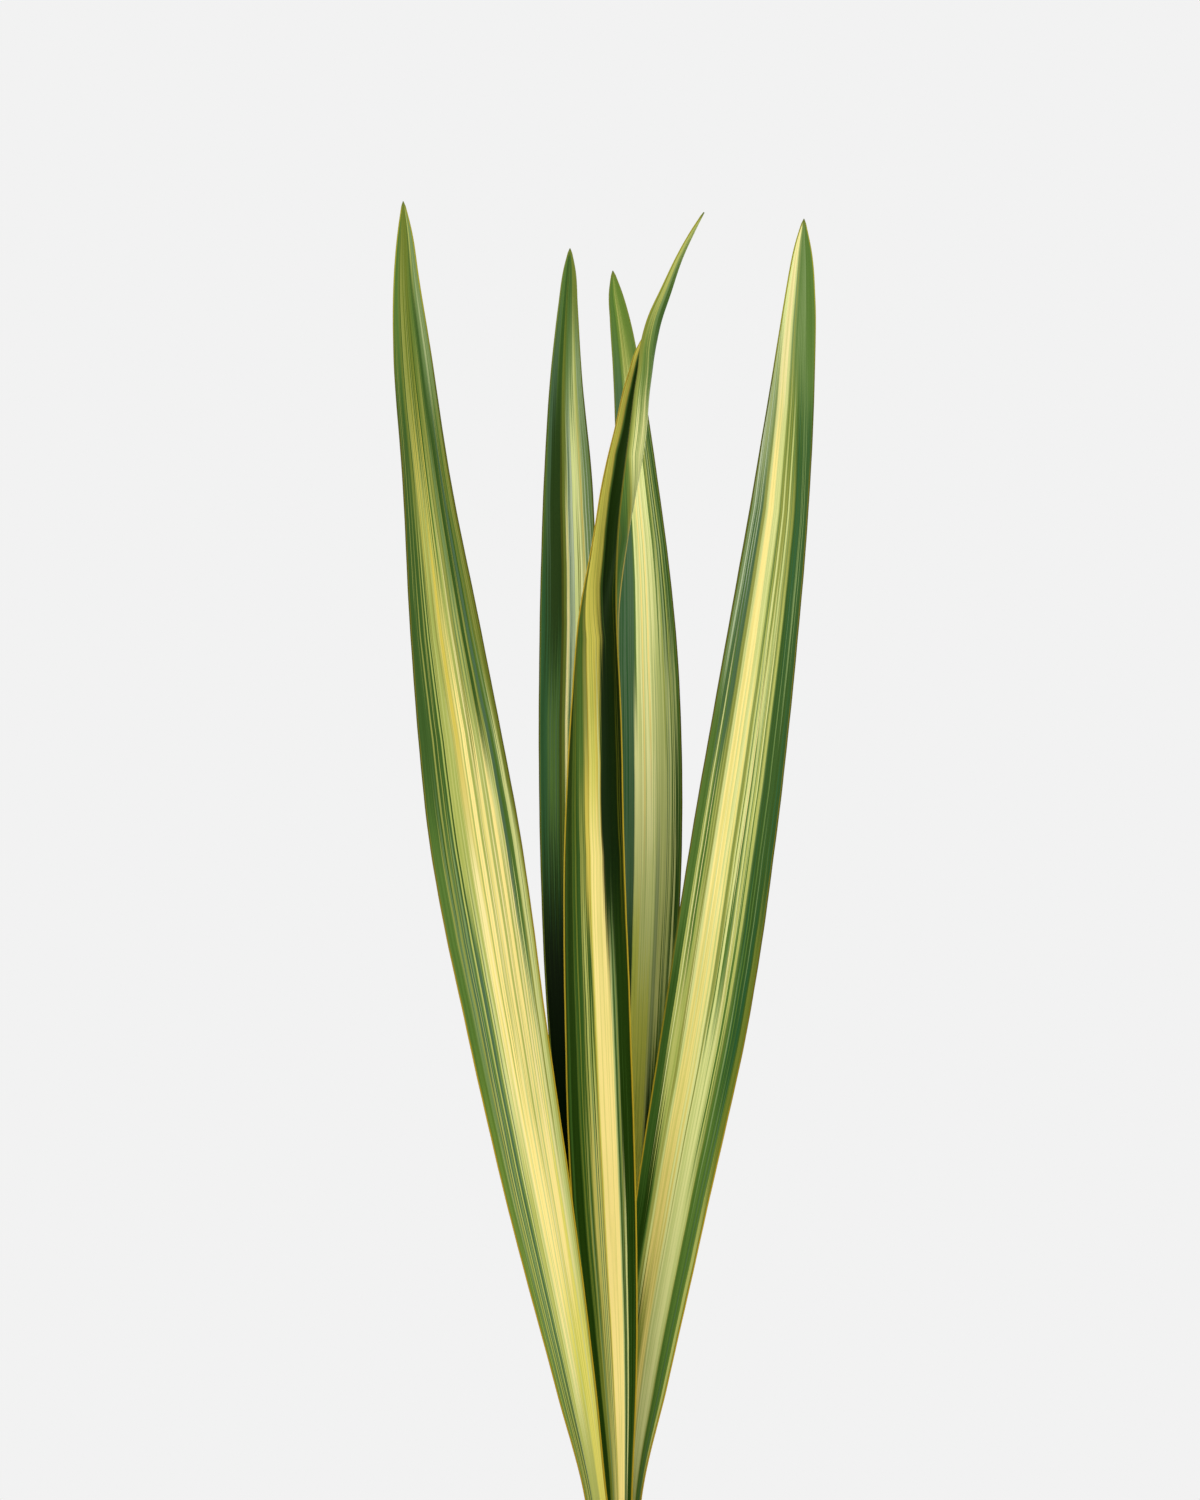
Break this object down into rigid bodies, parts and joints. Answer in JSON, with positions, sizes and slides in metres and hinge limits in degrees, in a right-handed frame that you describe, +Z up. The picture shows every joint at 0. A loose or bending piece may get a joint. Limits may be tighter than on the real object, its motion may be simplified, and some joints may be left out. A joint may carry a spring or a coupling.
{
  "type": "potted new zealand flax",
  "caption": "Fan of long upright sword-shaped leaves striped green and yellow, the middle leaf curled over near its tip, growing from soil in a plain tapered clay pot.",
  "frame": {"origin": "centre of the flat face under the pot, where it rests", "axes": "+Z up from the ground, -Y towards the leaves' upper faces (the pictured side), +X to the right seen from there"},
  "size_m": [0.2335, 0.212, 0.9441],
  "materials": {
    "clay": "matt unglazed terracotta with pale mineral bloom",
    "potting_soil": "loose dark bark and peat mix",
    "leaf_yellow_centre": "satin leaf, green margins, yellow centre stripes, thin orange edge",
    "leaf_dark": "satin leaf, dark green with a few pale stripes, thin orange edge",
    "leaf_pale": "satin leaf, pale cream-yellow stripes between grey-green sides, thin olive edge"
  },
  "bodies": {
    "root": {"pot": "clay", "soil": "potting_soil", "leaf_left": "leaf_yellow_centre", "leaf_back_left": "leaf_dark", "leaf_centre": "leaf_yellow_centre", "leaf_back_right": "leaf_pale", "leaf_right": "leaf_yellow_centre"}
  },
  "joints": []
}
